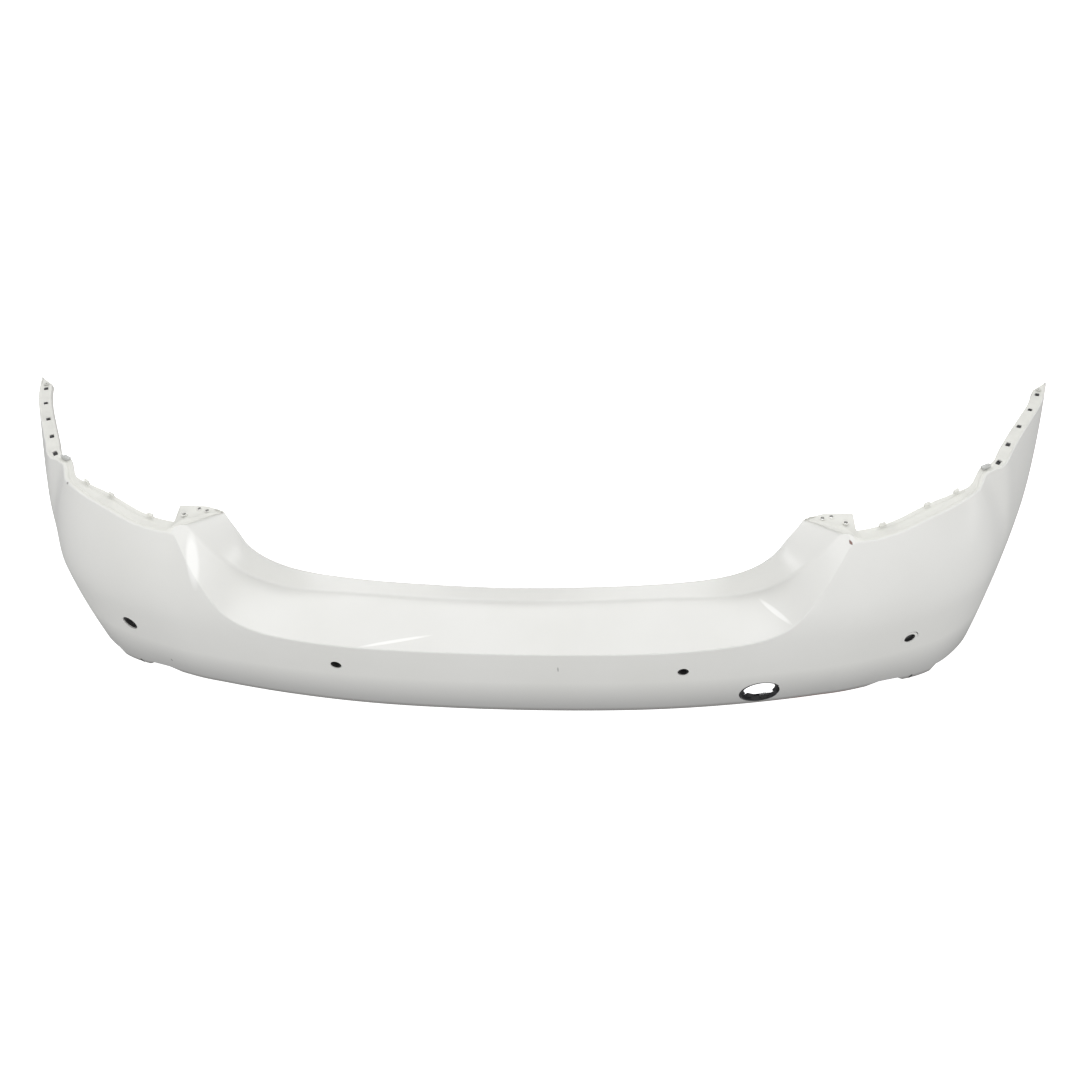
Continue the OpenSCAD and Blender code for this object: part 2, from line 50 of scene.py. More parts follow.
DEPTH = 564
CREASE_H = 180
WALL = 3
ROLL_R = 16
FOOT_W = 5
LIP_W = 24
LIP_STEP = 5
Z_ROLL = ROLL_R - CREASE_H
LAMP_FLANGE = 24
QUARTER_FLANGE = 21
ARCH_R, ARCH_Y, ARCH_Z = 370, 764, -200
ARCH_FLANGE = 12
TIP_HEM = 3
INNER_R, OUTER_R, TOW_R = 9, 14, 33.5

# ---- rails, repeated from the part's source ----

P_EAR, P_LAMP, P_QUARTER, P_TIP = 8, 13, 14, 20
P_INNER, P_OUTER, P_TOW, P_TAB, P_RIVET = 2.33, 9.31, 4.06, 9.64, 19.35
Z_INNER, Z_OUTER, Z_TOW = -50, -43, -133
PLAN = [
    [0, 0], [130, 2], [245, 8], [340, 18], [405, 27], [447, 34], [486, 41], [521, 48],
    [552, 55], [613, 76], [698, 112], [756, 160], [784, 203], [804, 241], [815, 262],
    [838, 308], [862, 360], [884, 415], [903, 467], [919, 515], [931, 560],
]
TOP_Z = [0, 0, 0, 4, 15, 38, 76, 104, 122, 128, 140,
         148, 151, 152, 155, 153, 147, 137, 124, 114, 108]
RISE = [[8.7, 0], [9, 9], [9.4, 9], [9.52, 0], [10.1, 0], [10.22, 13], [10.8, 9], [11.5, 4],
        [12.5, 0]]
LAMP_NARROW = [[10.5, 1], [11.5, 0.75], [12.3, 0.4], [13, 0.35]]
LAMP_REACH, TIP_SLANT = 14, 26
LEAN = [1, 1, 1, 1, 1, 1, 1, 1.1, 1.15, 0.95, 0.91,
        0.83, 0.79, 0.8, 0.52, 0.5, 0.47, 0.4, 0.31, 0.23, 0.18]
LEAN_IN, LEAN_UP = 20, 70        # the fascia leans in this far, at this height above the crease
TUCK = 0.0008                    # and tucks in by this share of the squared depth below it
UNDERCUT = [1, 1, 1, 1, 1, 1, 1, 1, 0.95, 0.8, 0.35] + 10 * [0.45]
WALL_FOOT = [
    [0, 107, 5], [128, 108, 5], [238, 113, 7], [325, 117, 10], [384, 120, 22],
    [424, 120, 45], [460, 122, 78], [493, 136, 106], [523, 160, 127],
]
WALL_TOP = [
    [0, 114, 28], [130, 119, 28], [245, 127, 30], [330, 131, 41], [382, 129, 66],
    [416, 133, 95], [437, 152, 114], [451, 167, 123], [461, 180, 128],
]
EAR_INNER, EAR_OUTER = [492, 192, 128], [538, 193, 128]
EAR_HOLES = [[525, 173], [504, 186], [490, 182]]
EAR_HOLE_R = 3
WINDOWS = [14.1, 15.2, 16.35, 17.65, 19]
LAMP_TABS = [9, 10.1, 11.2]
WINDOW_L, WINDOW_W, WINDOW_ACROSS = 11, 7, 12


def curve(points, u, corners=()):
    """A smooth curve through control points, with a sharp point at each corner listed."""
    points = np.asarray(points, float)
    last = len(points) - 1
    i = min(int(u), last - 1)
    t = u - i
    a, b = points[i], points[i + 1]
    if i == 0:
        before = points[1] * ([-1] + [1] * (points.shape[1] - 1) if points.ndim > 1 else 1)
    else:
        before = 2 * a - b if i in corners else points[i - 1]
    after = 2 * b - a if i + 2 > last or i + 1 in corners else points[i + 2]
    return a + t / 2 * ((b - before) + t * (2 * before - 5 * a + 4 * b - after
                                            + t * (3 * (a - b) + after - before)))


def unit(v):
    return v / np.linalg.norm(v)


def mix(a, b, t):
    return a + (b - a) * t


def ease(t):
    t = min(1, max(0, t))
    return t * t * (3 - 2 * t)


SMOOTH = (-0.5, -0.25, 0, 0.25, 0.5)
NARROWER = 0.9996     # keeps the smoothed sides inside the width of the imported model


def plan(p):
    """Plan of the fascia at the crease, averaged along the rail so that its curvature runs on."""
    total = np.zeros(2)
    for d in SMOOTH:
        q = p + d
        if q < 0:
            total += curve(PLAN, -q) * (-1, 1)
        elif q > P_TIP:
            total += 2 * curve(PLAN, P_TIP) - curve(PLAN, 2 * P_TIP - q)
        else:
            total += curve(PLAN, q)
    return total / len(SMOOTH) * (NARROWER, 1)


def inward(p):
    if p < 0.05:
        return np.array([0.0, 1.0])
    d = unit(plan(min(p + 0.1, P_TIP)) - plan(max(p - 0.1, 0)))
    return np.array([-d[1], d[0]])


def lean_power(p):
    return 2.2 - 0.2 * min(3, max(0, p - 9))


def offset_at(p, z):
    """How far the fascia lies inside its plan, at a height above or below the crease."""
    if z < 0:
        return curve(UNDERCUT, p) * TUCK * z * z
    return curve(LEAN, p) * LEAN_IN * (z / LEAN_UP) ** lean_power(p)


def fascia(p, z):
    c = plan(p) + inward(p) * offset_at(p, z)
    return np.array([c[0], c[1], z])


def fascia_normal(p, z):
    along = fascia(p + 0.05, z) - fascia(p - 0.05, z)
    up = fascia(p, z + 1) - fascia(p, z - 1)
    return unit(np.cross(along, up))


def top_z(p):
    return float(curve(TOP_Z, p, (P_EAR, P_LAMP, P_QUARTER)))


def lookup(table, u):
    return float(np.interp(u, [row[0] for row in table], [row[1] for row in table]))


def low_z(p):
    """The lower edge: level in the middle, cut up on both sides of the lower tab."""
    return Z_ROLL + lookup(RISE, p)


def arch_p(z):
    y = ARCH_Y - math.sqrt(max(0, ARCH_R ** 2 - (z - ARCH_Z) ** 2))
    return min(P_TIP, float(np.interp(y, [q[1] for q in PLAN[P_LAMP:]], range(P_LAMP, P_TIP + 1))))


def place(p, z):
    """Station lines run straight down at first, then fan out to follow the wheel arch."""
    return p if p <= P_LAMP else P_LAMP + (p - P_LAMP) * (arch_p(z) - P_LAMP) / (P_TIP - P_LAMP)


def skin(p, z):
    return fascia(place(p, z), z)


# ---- sections of the moulding, with rounded corners ----

CREASE_R = 2.5     # radius of the shelf crease and of the fascia's upper edge
FOOT_R = 3         # radius where the shelf meets the inner wall
RIM_R = 1.5        # radius of the small edges


def ledge(edge, direction, across, down):
    """A point across from an edge, in a direction in plan, and below it."""
    return np.array([edge[0] + direction[0] * across, edge[1] + direction[1] * across,
                     edge[2] - down])


def lamp_ledge(p):
    """Flange under the tail lamp: its far edge, the step's foot, the step's top and the edge."""
    e, n = skin(p, top_z(p)), inward(p)
    ahead = np.array([n[1], -n[0], 0]) * LAMP_REACH * ease(p - 12)
    w = LAMP_FLANGE * lookup(LAMP_NARROW, p) + 6
    return [ledge(e, n, w, 4) + ahead, ledge(e, n, 8, 5) + ahead * 0.2, ledge(e, n, 6, 1), e]


def quarter_ledge(p):
    """Flange under the quarter panel, turned down along its far edge."""
    e, n, w = skin(p, top_z(p)), inward(p), QUARTER_FLANGE
    back = np.array([-n[1], n[0], 0]) * TIP_SLANT * ease((p - 19.2) / 0.8)
    return [ledge(e, n, w + 1, 12) + back, ledge(e, n, w, 3) + back,
            ledge(e, n, 3, 2) + back * 0.1, e]


def wall_ledge(p):
    """The inner wall, and at its end the ear plate behind it, and the wall's foot."""
    foot, top = curve(WALL_FOOT, p), curve(WALL_TOP, p)
    plate = max(0, p - EAR_START) / (P_EAR - EAR_START)
    rim, near = mix(top, np.array(EAR_INNER), plate), mix(foot, top, mix(0.88, 1, plate))
    return [rim, near, foot, skin(p, top_z(p))]


EAR_START, EAR_TURN, EAR_END = P_EAR - 0.15, P_EAR + 0.2, P_EAR + 0.4


def ear_side(p):
    """The ear plate's outer edge, where it drops to the lamp flange."""
    b = [mix(x, y, 0.5) for x, y in zip(wall_ledge(P_EAR), lamp_ledge(EAR_END))]
    return [np.array(EAR_OUTER, float), mix(b[1], b[2], 0.35), b[2], skin(p, top_z(p))]


def inner_ledge(p):
    if p <= P_EAR:
        return wall_ledge(p)
    if p <= EAR_TURN:
        t = (p - P_EAR) / (EAR_TURN - P_EAR)
        return [mix(a, b, t) for a, b in zip(wall_ledge(P_EAR), ear_side(p))]
    if p < EAR_END:
        t = (p - EAR_TURN) / (EAR_END - EAR_TURN)
        return [mix(a, b, t) for a, b in zip(ear_side(EAR_TURN), lamp_ledge(EAR_END))]
    if p <= P_LAMP:
        return lamp_ledge(p)
    if p < P_QUARTER:
        t = p - P_LAMP
        return [mix(a, b, t) for a, b in zip(lamp_ledge(P_LAMP), quarter_ledge(P_QUARTER))]
    return quarter_ledge(p)


def leg(a, b, count):
    """Points from a towards b, without b."""
    return [mix(a, b, k / count) for k in range(count)]


def rounded(before, corner, after, radius, count):
    """Points round a corner, from radius before it to radius after it."""
    a = corner + (before - corner) * min(0.45, radius / max(np.linalg.norm(before - corner), 1e-6))
    b = corner + (after - corner) * min(0.45, radius / max(np.linalg.norm(after - corner), 1e-6))
    return [(1 - t) ** 2 * a + 2 * t * (1 - t) * corner + t * t * b
            for t in np.linspace(0, 1, count)]


GROOVE = 1.6       # depth of the groove along the lamp flange
FASCIA_ROWS = 34
ROLL_ROWS = 8
LEG_ROWS = (6, 7, 16)     # along the rim, the wall and the shelf
ROUND_ROWS = (3, 7, 7)    # round the rim, the foot and the crease


def section(p):
    """One section of the outside, from its inner edge to the lower lip."""
    rim, near, foot, edge = inner_ledge(p)
    z1 = top_z(p)
    below = skin(p, z1 - 12)
    shelf = p < P_EAR
    radii = (RIM_R, FOOT_R * ease((P_EAR - p) / 2) + RIM_R if shelf else RIM_R,
             CREASE_R if p < P_EAR - 1 else 2.0)
    near_r = rounded(rim, near, foot, radii[0], ROUND_ROWS[0])
    foot_r = rounded(near, foot, edge, radii[1], ROUND_ROWS[1])
    edge_r = rounded(foot, edge, below, radii[2], ROUND_ROWS[2])
    points = leg(rim, near_r[0], LEG_ROWS[0]) + near_r[:-1]
    points[2] = points[2] - (0, 0, GROOVE * ease((p - 8.6) * 3) * ease((12 - p) * 2))
    points += leg(near_r[-1], foot_r[0], LEG_ROWS[1]) + foot_r[:-1]
    points += leg(foot_r[-1], edge_r[0], LEG_ROWS[2]) + edge_r[:-1]
    z2 = edge_r[-1][2]
    points += [skin(p, mix(z2, low_z(p), k / FASCIA_ROWS)) for k in range(FASCIA_ROWS)]
    e, n = skin(p, low_z(p)), inward(place(p, low_z(p)))
    for k in range(ROLL_ROWS + 1):
        a = math.pi / 2 * k / ROLL_ROWS
        points.append(ledge(e, n, ROLL_R * (1 - math.cos(a)), ROLL_R * math.sin(a)))
    points.append(ledge(e, n, ROLL_R + FOOT_W, ROLL_R))
    h = ROLL_R - LIP_STEP
    points += [ledge(e, n, ROLL_R + FOOT_W + d, h) for d in (5, 9, 14)]
    points.append(ledge(e, n, ROLL_R + LIP_W, h))
    return np.array(points)


FIRST_FASCIA = sum(LEG_ROWS) + sum(ROUND_ROWS) - 3     # row where the fascia begins
LAST_FASCIA = FIRST_FASCIA + FASCIA_ROWS


def arch_sections():
    """The last sections, turned inward as the flange of the wheel arch."""
    s = section(P_TIP)
    d = unit(plan(P_TIP) - plan(P_TIP - 0.2))
    forward = np.array([d[0], d[1], 0])
    made = []
    for share in (0.12, 0.5, 1):
        t = s.copy()
        for i, q in enumerate(s):
            n = inward(place(P_TIP, q[2]))
            inside = max(0, min(i - FIRST_FASCIA, LAST_FASCIA - i) / 3)
            turn = ARCH_FLANGE * min(1, inside) * share
            hem = TIP_HEM * (1 if i <= FIRST_FASCIA else 0.3) * min(1, share * 3)
            t[i] = q + forward * hem + np.array([n[0], n[1], 0]) * turn
        made.append(t)
    return made


def stations():
    """Places along the half cover, close together where the shape turns."""
    runs = [(0, 2, 30), (2, 4, 22), (4, 7, 30), (7, EAR_START, 11), (EAR_START, P_EAR, 3),
            (P_EAR, EAR_TURN, 4), (EAR_TURN, EAR_END, 4), (EAR_END, 8.7, 5), (8.7, 9, 8),
            (9, 9.4, 8), (9.4, 9.52, 4), (9.52, 10.1, 11), (10.1, 10.22, 5), (10.22, 11, 14),
            (11, P_LAMP, 26), (P_LAMP, P_QUARTER, 10), (P_QUARTER, P_TIP, 50)]
    return [mix(a, b, k / n) for a, b, n in runs for k in range(n)] + [P_TIP]


def grid_normals(g):
    """Normals of a grid of points, pointing to the inside of the moulding."""
    du = np.gradient(g, axis=0)
    dv = np.gradient(g, axis=1)
    n = np.cross(du, dv)
    return n / np.maximum(np.linalg.norm(n, axis=2, keepdims=True), 1e-9)


def outer_grid():
    """All sections from the left tip to the right one, and the place of each."""
    places = stations()
    half = [section(p) for p in places] + arch_sections()
    places += [P_TIP] * (len(half) - len(places))
    left = [s * (-1, 1, 1) for s in reversed(half)]
    return np.array(left[:-1] + half), list(reversed(places))[:-1] + places


def outside_slot(p, row):
    """Paint, or the thinner coat of the ear plates and of both flanges."""
    if p > P_EAR + 0.1:
        return FLANGE if row < FIRST_FASCIA - 6 else PAINT
    return FLANGE if p > EAR_START - 0.01 and row < LEG_ROWS[0] + 2 else PAINT


def inside_slot(p, row):
    """Raw plastic, but paint where the folds beside the ear plates show their inner side."""
    return FLANGE if P_EAR - 0.5 < p < EAR_END + 0.4 and row < FIRST_FASCIA - 2 else RAW


def to_row(points):
    """From the design's frame in millimetres to the row's frame in metres."""
    return (points + (0, -DEPTH / 2, CREASE_H)) * MM


def new_object(name, mesh):
    made = bpy.data.objects.new(name, mesh)
    bpy.context.scene.collection.objects.link(made)
    return made


PAINT, FLANGE, RAW = 0, 1, 2     # material slots of the moulding


def moulding():
    """The shell: outer grid, inner grid and rim."""
    outer, places = outer_grid()
    inner = outer + WALL * grid_normals(outer)
    n, m = outer.shape[:2]
    points = np.concatenate([outer.reshape(-1, 3), inner.reshape(-1, 3)])
    faces, slots = [], []
    base = n * m
    for i in range(n - 1):
        for j in range(m - 1):
            a = i * m + j
            b = base + a
            faces += [(a, a + 1, a + m + 1, a + m), (b, b + m, b + m + 1, b + 1)]
            p = min(places[i], places[i + 1])
            slots += [outside_slot(p, j), inside_slot(p, j)]
    rim = ([i * m for i in range(n)] + [(n - 1) * m + j for j in range(1, m)]
           + [i * m + m - 1 for i in range(n - 2, -1, -1)] + list(range(m - 2, 0, -1)))
    for k, a in enumerate(rim):
        b = rim[(k + 1) % len(rim)]
        faces.append((a, b, b + base, a + base))
        slots.append(PAINT)
    mesh = bpy.data.meshes.new("cover_shell")
    mesh.from_pydata(to_row(points).tolist(), [], faces)
    mesh.polygons.foreach_set("material_index", slots)
    mesh.polygons.foreach_set("use_smooth", [True] * len(faces))
    mesh.update()
    return new_object("cover_shell", mesh)


# ---- openings ----

def matrix(x, y, z, origin):
    """A frame with the axes given, at a point of the design."""
    o = to_row(np.array(origin, float))
    return Matrix([[x[k], y[k], z[k], o[k]] for k in range(3)] + [[0, 0, 0, 1]])


def on_fascia(p, z):
    """A frame whose z axis is the outward normal of the fascia."""
    c, n = fascia(p, z), fascia_normal(p, z)
    a = unit(np.cross((0, 0, 1), n))
    return matrix(a, np.cross(n, a), n, c)


def on_edge(p, across, down):
    """A frame on the upper edge: x along the edge, y inward across the ledge, z up."""
    q = min(p + 0.1, P_TIP)
    d = unit(skin(q, top_z(q)) - skin(p - 0.1, top_z(p - 0.1)))
    n = np.append(inward(p), 0)
    b = unit(n - d * d.dot(n))
    return matrix(d, b, np.cross(d, b), skin(p, top_z(p)) + b * across - (0, 0, down))


def on_lip(p):
    """A frame on the lower lip: x along the lip, y inward, z up, at the lip's underside."""
    n = inward(p)
    o = skin(p, Z_ROLL) + np.append(n, 0) * (ROLL_R + LIP_W * 0.6) - (0, 0, ROLL_R - LIP_STEP)
    return matrix((n[1], -n[0], 0), (n[0], n[1], 0), (0, 0, 1), o)


MIRROR = Matrix.Diagonal((-1, 1, 1, 1))


def add_cylinder(bm, at, radius, low, high, segments=48):
    made = bmesh.ops.create_cone(bm, cap_ends=True, segments=segments, radius1=radius * MM,
                                 radius2=radius * MM, depth=(high - low) * MM)
    shift = Matrix.Translation((0, 0, (high + low) / 2 * MM))
    bmesh.ops.transform(bm, matrix=at @ shift, verts=made["verts"])


def add_block(bm, at, size, centre=(0, 0, 0), corner=0.0):
    """A block, with its four corners along z rounded if corner isn't 0."""
    half = [size[0] / 2 - corner, size[1] / 2 - corner]
    outline = []
    for k in range(4):
        a0 = math.pi / 2 * k
        sx, sy = (1, -1, -1, 1)[k], (1, 1, -1, -1)[k]
        steps = 5 if corner else 1
        for i in range(steps):
            a = a0 + math.pi / 2 * (i / (steps - 1) if corner else 0.5)
            outline.append((sx * half[0] + corner * math.cos(a),
                            sy * half[1] + corner * math.sin(a)))
    low, high = -size[2] / 2, size[2] / 2
    cx, cy, cz = centre
    rings = [[bm.verts.new(at @ Vector(((x + cx) * MM, (y + cy) * MM, (z + cz) * MM)))
              for x, y in outline] for z in (low, high)]
    n = len(outline)
    bm.faces.new(list(reversed(rings[0])))
    bm.faces.new(rings[1])
    for i in range(n):
        j = (i + 1) % n
        bm.faces.new((rings[0][i], rings[0][j], rings[1][j], rings[1][i]))


LIP_NUTS = [1.2, 2.7, 6.4]
LIP_NUT_R, RIVET_R = 3.5, 2.4
TAB_SLOT = (4.5, 12, 24)
TAB_SLOT_Z = 13                  # above the lower edge
TAB_SLANT = math.radians(-35)
CUT = 20                         # how far a round cutter reaches to each side of the fascia
TOW_NOTCH, TOW_NOTCH_AT = (84, 40, 16), 26


def on_tab():
    return on_fascia(P_TAB, TAB_SLOT_Z - CREASE_H) @ Matrix.Rotation(TAB_SLANT, 4, "Z")


def extras():
    """Tabs on the lamp flanges and pads round the holes in the ear plates, as one mesh."""
    bm = bmesh.new()
    for side in (MIRROR, Matrix.Identity(4)):
        for p in LAMP_TABS:
            at = on_edge(p, LAMP_FLANGE * lookup(LAMP_NARROW, p) + 4, 4)
            add_block(bm, side @ at, (9.9, 3.9, 8.9), (0, 0, 1.5), 0.8)
        for x, y in EAR_HOLES:
            at = matrix((1, 0, 0), (0, 1, 0), (0, 0, 1), (x, y, EAR_OUTER[2]))
            add_cylinder(bm, side @ at, EAR_HOLE_R + 2.0, -4.5, 0.12)
    bmesh.ops.recalc_face_normals(bm, faces=bm.faces)
    mesh = bpy.data.meshes.new("extras")
    bm.to_mesh(mesh)
    bm.free()
    mesh.polygons.foreach_set("material_index", [FLANGE] * len(mesh.polygons))
    return new_object("extras", mesh)


def cutters():
    """Everything that is cut out of the moulding, as one mesh."""
    bm = bmesh.new()
    for side in (MIRROR, Matrix.Identity(4)):
        add_cylinder(bm, side @ on_fascia(P_INNER, Z_INNER), INNER_R, -CUT, CUT, 64)
        add_cylinder(bm, side @ on_fascia(P_OUTER, Z_OUTER), OUTER_R, -CUT, CUT, 80)
        for x, y in EAR_HOLES:
            at = matrix((1, 0, 0), (0, 1, 0), (0, 0, 1), (x, y, EAR_OUTER[2]))
            add_cylinder(bm, side @ at, EAR_HOLE_R, -12, 12)
        for p in WINDOWS:
            at = on_edge(p, WINDOW_ACROSS, 2)
            add_block(bm, side @ at, (WINDOW_L, WINDOW_W, 14), corner=1.2)
        add_cylinder(bm, side @ on_edge(P_RIVET, WINDOW_ACROSS, 2), RIVET_R, -8, 8)
        for p in LIP_NUTS:
            add_cylinder(bm, side @ on_lip(p), LIP_NUT_R, -2, 6)
        add_block(bm, side @ on_tab(), TAB_SLOT, (0, 0, -2))
    add_cylinder(bm, on_fascia(P_TOW, Z_TOW), TOW_R, -CUT, CUT, 128)
    bmesh.ops.recalc_face_normals(bm, faces=bm.faces)
    mesh = bpy.data.meshes.new("cutters")
    bm.to_mesh(mesh)
    bm.free()
    return new_object("cutters", mesh)


def tow_notch():
    """The cut through the lip behind the towing eye."""
    bm = bmesh.new()
    add_block(bm, on_lip(P_TOW), TOW_NOTCH, (0, TOW_NOTCH_AT - 0.6 * LIP_W, 0))
    bmesh.ops.recalc_face_normals(bm, faces=bm.faces)
    mesh = bpy.data.meshes.new("tow_notch")
    bm.to_mesh(mesh)
    bm.free()
    return new_object("tow_notch", mesh)


def apply_modifiers(piece):
    """Keeps the evaluated mesh, with no modifiers left."""
    graph = bpy.context.evaluated_depsgraph_get()
    mesh = bpy.data.meshes.new_from_object(piece.evaluated_get(graph))
    old = piece.data
    piece.modifiers.clear()
    piece.data = mesh
    bpy.data.meshes.remove(old)


def combine(piece, tool, operation):
    step = piece.modifiers.new("combine", "BOOLEAN")
    step.object, step.operation, step.solver = tool, operation, "EXACT"
    apply_modifiers(piece)
    bpy.data.objects.remove(tool)


WELD = 2e-6            # points this close, in metres, are one


def clean(piece):
    """Welds the seams that the cuts leave, and drops triangles that lie back to back."""
    bm = bmesh.new()
    bm.from_mesh(piece.data)
    bmesh.ops.remove_doubles(bm, verts=bm.verts, dist=WELD)
    bmesh.ops.triangulate(bm, faces=[face for face in bm.faces if len(face.verts) > 4])
    same = {}
    for face in bm.faces:
        same.setdefault(frozenset(face.verts), []).append(face)
    flaps = [face for faces in same.values() if len(faces) > 1 for face in faces]
    bmesh.ops.delete(bm, geom=flaps, context="FACES")
    bm.to_mesh(piece.data)
    bm.free()


# ---- materials ----

def shader(name, colour, roughness, **inputs):
    """A Principled material with constants on its own sockets, its nodes, links and shader."""
    material = bpy.data.materials.new(name)
    material.use_nodes = True
    nodes, links = material.node_tree.nodes, material.node_tree.links
    principled = nodes["Principled BSDF"]
    principled.inputs["Base Color"].default_value = (*colour, 1)
    principled.inputs["Roughness"].default_value = roughness
    for key, value in inputs.items():
        principled.inputs[key.replace("_", " ")].default_value = value
    return material, nodes, links, principled


def noise(nodes, links, scale, detail=4.0, stretch=(1, 1, 1)):
    """Noise over the object's own coordinates."""
    where = nodes.new("ShaderNodeTexCoord")
    mapping = nodes.new("ShaderNodeMapping")
    mapping.inputs["Scale"].default_value = stretch
    made = nodes.new("ShaderNodeTexNoise")
    made.inputs["Scale"].default_value = scale
    made.inputs["Detail"].default_value = detail
    links.new(where.outputs["Object"], mapping.inputs["Vector"])
    links.new(mapping.outputs["Vector"], made.inputs["Vector"])
    return made


def ramp(nodes, links, value, low, high, to_low=0.0, to_high=1.0):
    """Maps a value between low and high onto to_low and to_high."""
    made = nodes.new("ShaderNodeMapRange")
    for key, number in (("From Min", low), ("From Max", high),
                        ("To Min", to_low), ("To Max", to_high)):
        made.inputs[key].default_value = number
    links.new(value, made.inputs["Value"])
    return made.outputs["Result"]


def mixed(nodes, links, factor, a, b):
    """A colour mixed from two, by a factor socket."""
    made = nodes.new("ShaderNodeMix")
    made.data_type = "RGBA"
    for socket, value in ((made.inputs[6], a), (made.inputs[7], b)):
        if isinstance(value, tuple):
            socket.default_value = (*value, 1)
        else:
            links.new(value, socket)
    links.new(factor, made.inputs["Factor"])
    return made.outputs[2]


def bump(nodes, links, principled, height, strength, distance):
    made = nodes.new("ShaderNodeBump")
    made.inputs["Strength"].default_value = strength
    made.inputs["Distance"].default_value = distance
    links.new(height, made.inputs["Height"])
    links.new(made.outputs["Normal"], principled.inputs["Normal"])
    return made


WHITE = (0.80, 0.80, 0.775)
GLINT, RUST = (0.97, 0.97, 0.95), (0.17, 0.07, 0.05)
GREY, DARK = (0.36, 0.36, 0.35), (0.15, 0.14, 0.13)
# Marks on the paint and painted highlights: centre and half sizes in metres, turn about z in
# degrees, colour, strength.
MARKS_AND_PAINTED_HIGHLIGHTS = [
    # painted highlights: streaks of reflected strip lights, left and right of the shelf
    ((-0.176, -0.2595, 0.181), (0.060, 0.0035, 0.010), 13, GLINT, 0.9),
    ((0.418, -0.2085, 0.210), (0.040, 0.0040, 0.025), -54, GLINT, 0.9),
    # painted highlight, a bright patch on the shelf by the left ear, and chip at the right one
    ((-0.499, -0.1780, 0.270), (0.010, 0.0500, 0.045), 14, GLINT, 0.8),
    ((0.529, -0.1475, 0.303), (0.002, 0.0055, 0.006), 20, RUST, 0.95),
    # scuff on the right lamp flange, and speck at the left lamp corner
    ((0.582, -0.1185, 0.304), (0.015, 0.0025, 0.006), 4, GREY, 0.6),
    ((-0.729, -0.0625, 0.330), (0.003, 0.0030, 0.003), 0, DARK, 0.7),
    # scratch below the shelf, nick by the left tab, and scraped lower edge on the right
    ((0.081, -0.2805, 0.143), (0.0012, 0.010, 0.007), 0, GREY, 0.8),
    ((-0.591, -0.2015, 0.051), (0.0016, 0.010, 0.004), 0, DARK, 0.8),
    ((0.510, -0.2165, 0.006), (0.105, 0.0200, 0.008), 11, RUST, 0.8),
]


def mark(nodes, links, centre, half, turn, ragged):
    """Distance from an ellipsoid's centre, 1 at its surface, ragged if a noise is given."""
    where = nodes.new("ShaderNodeTexCoord")
    local = nodes.new("ShaderNodeMapping")
    local.vector_type = "TEXTURE"
    local.inputs["Location"].default_value = centre
    local.inputs["Rotation"].default_value = (0, 0, math.radians(turn))
    local.inputs["Scale"].default_value = half
    links.new(where.outputs["Object"], local.inputs["Vector"])
    length = nodes.new("ShaderNodeVectorMath")
    length.operation = "LENGTH"
    links.new(local.outputs["Vector"], length.inputs[0])
    if ragged is None:
        return length.outputs["Value"]
    rough = nodes.new("ShaderNodeMath")
    rough.operation = "MULTIPLY"
    links.new(length.outputs["Value"], rough.inputs[0])
    links.new(ragged, rough.inputs[1])
    return rough.outputs["Value"]


# Painted shade: the lower fascia darkened towards the ground, and darker still along the lower
# edge: the heights in metres that it grows between, its colour and its strength.
LOW_PAINTED_SHADE = [((0.105, 0.0), (0.30, 0.30, 0.30), 0.8), ((0.020, 0.009), DARK, 0.85)]


def height_ramp(nodes, links, band, most):
    """A factor that grows from 0 to the most given, between two heights on the object."""
    where = nodes.new("ShaderNodeTexCoord")
    parts = nodes.new("ShaderNodeSeparateXYZ")
    links.new(where.outputs["Object"], parts.inputs["Vector"])
    return ramp(nodes, links, parts.outputs["Z"], *band, 0.0, most)


def paint_material():
    """White paint under lacquer: a faint orange peel, slight dulling by dust, marks of use, painted
    highlights on the shelf, and painted shade darkening it towards the lower edge.
    """
    material, nodes, links, principled = shader(
        "white_lacquered_paint", WHITE, 0.35, Coat_Weight=0.35, Coat_Roughness=0.22, IOR=1.45)
    cloud = noise(nodes, links, 5.0, 6.0)
    dulled = mixed(nodes, links, ramp(nodes, links, cloud.outputs["Fac"], 0.4, 0.75), WHITE,
                   (0.77, 0.77, 0.74))
    edges = noise(nodes, links, 160.0, 3.0)
    ragged = ramp(nodes, links, edges.outputs["Fac"], 0.3, 0.7, 0.75, 1.3)
    colour = dulled
    # painted shade: the paint made darker towards the ground, darkest along the lower edge
    for band, tone, strength in LOW_PAINTED_SHADE:
        colour = mixed(nodes, links, height_ramp(nodes, links, band, strength), colour, tone)
    # marks of use, and painted highlights where the tone is GLINT
    for centre, half, turn, tone, strength in MARKS_AND_PAINTED_HIGHLIGHTS:
        inside = mark(nodes, links, centre, half, turn, None if tone == GLINT else ragged)
        share = ramp(nodes, links, inside, 1.05, 0.65, 0.0, strength)
        colour = mixed(nodes, links, share, colour, tone)
    links.new(colour, principled.inputs["Base Color"])
    links.new(ramp(nodes, links, cloud.outputs["Fac"], 0.3, 0.8, 0.3, 0.42),
              principled.inputs["Roughness"])
    peel = noise(nodes, links, 350.0, 2.0)
    bump(nodes, links, principled, peel.outputs["Fac"], 0.04, 0.0003)
    return material


def flange_material():
    """The flanges have one thin, duller coat of the same paint."""
    thin, bare = (0.80, 0.80, 0.755), (0.70, 0.70, 0.66)
    material, nodes, links, principled = shader("thin_flange_paint", thin, 0.45)
    cloud = noise(nodes, links, 22.0, 5.0)
    worn = mixed(nodes, links, ramp(nodes, links, cloud.outputs["Fac"], 0.5, 0.8), thin, bare)
    links.new(worn, principled.inputs["Base Color"])
    grain = noise(nodes, links, 900.0, 2.0)
    bump(nodes, links, principled, grain.outputs["Fac"], 0.2, 0.0003)
    return material


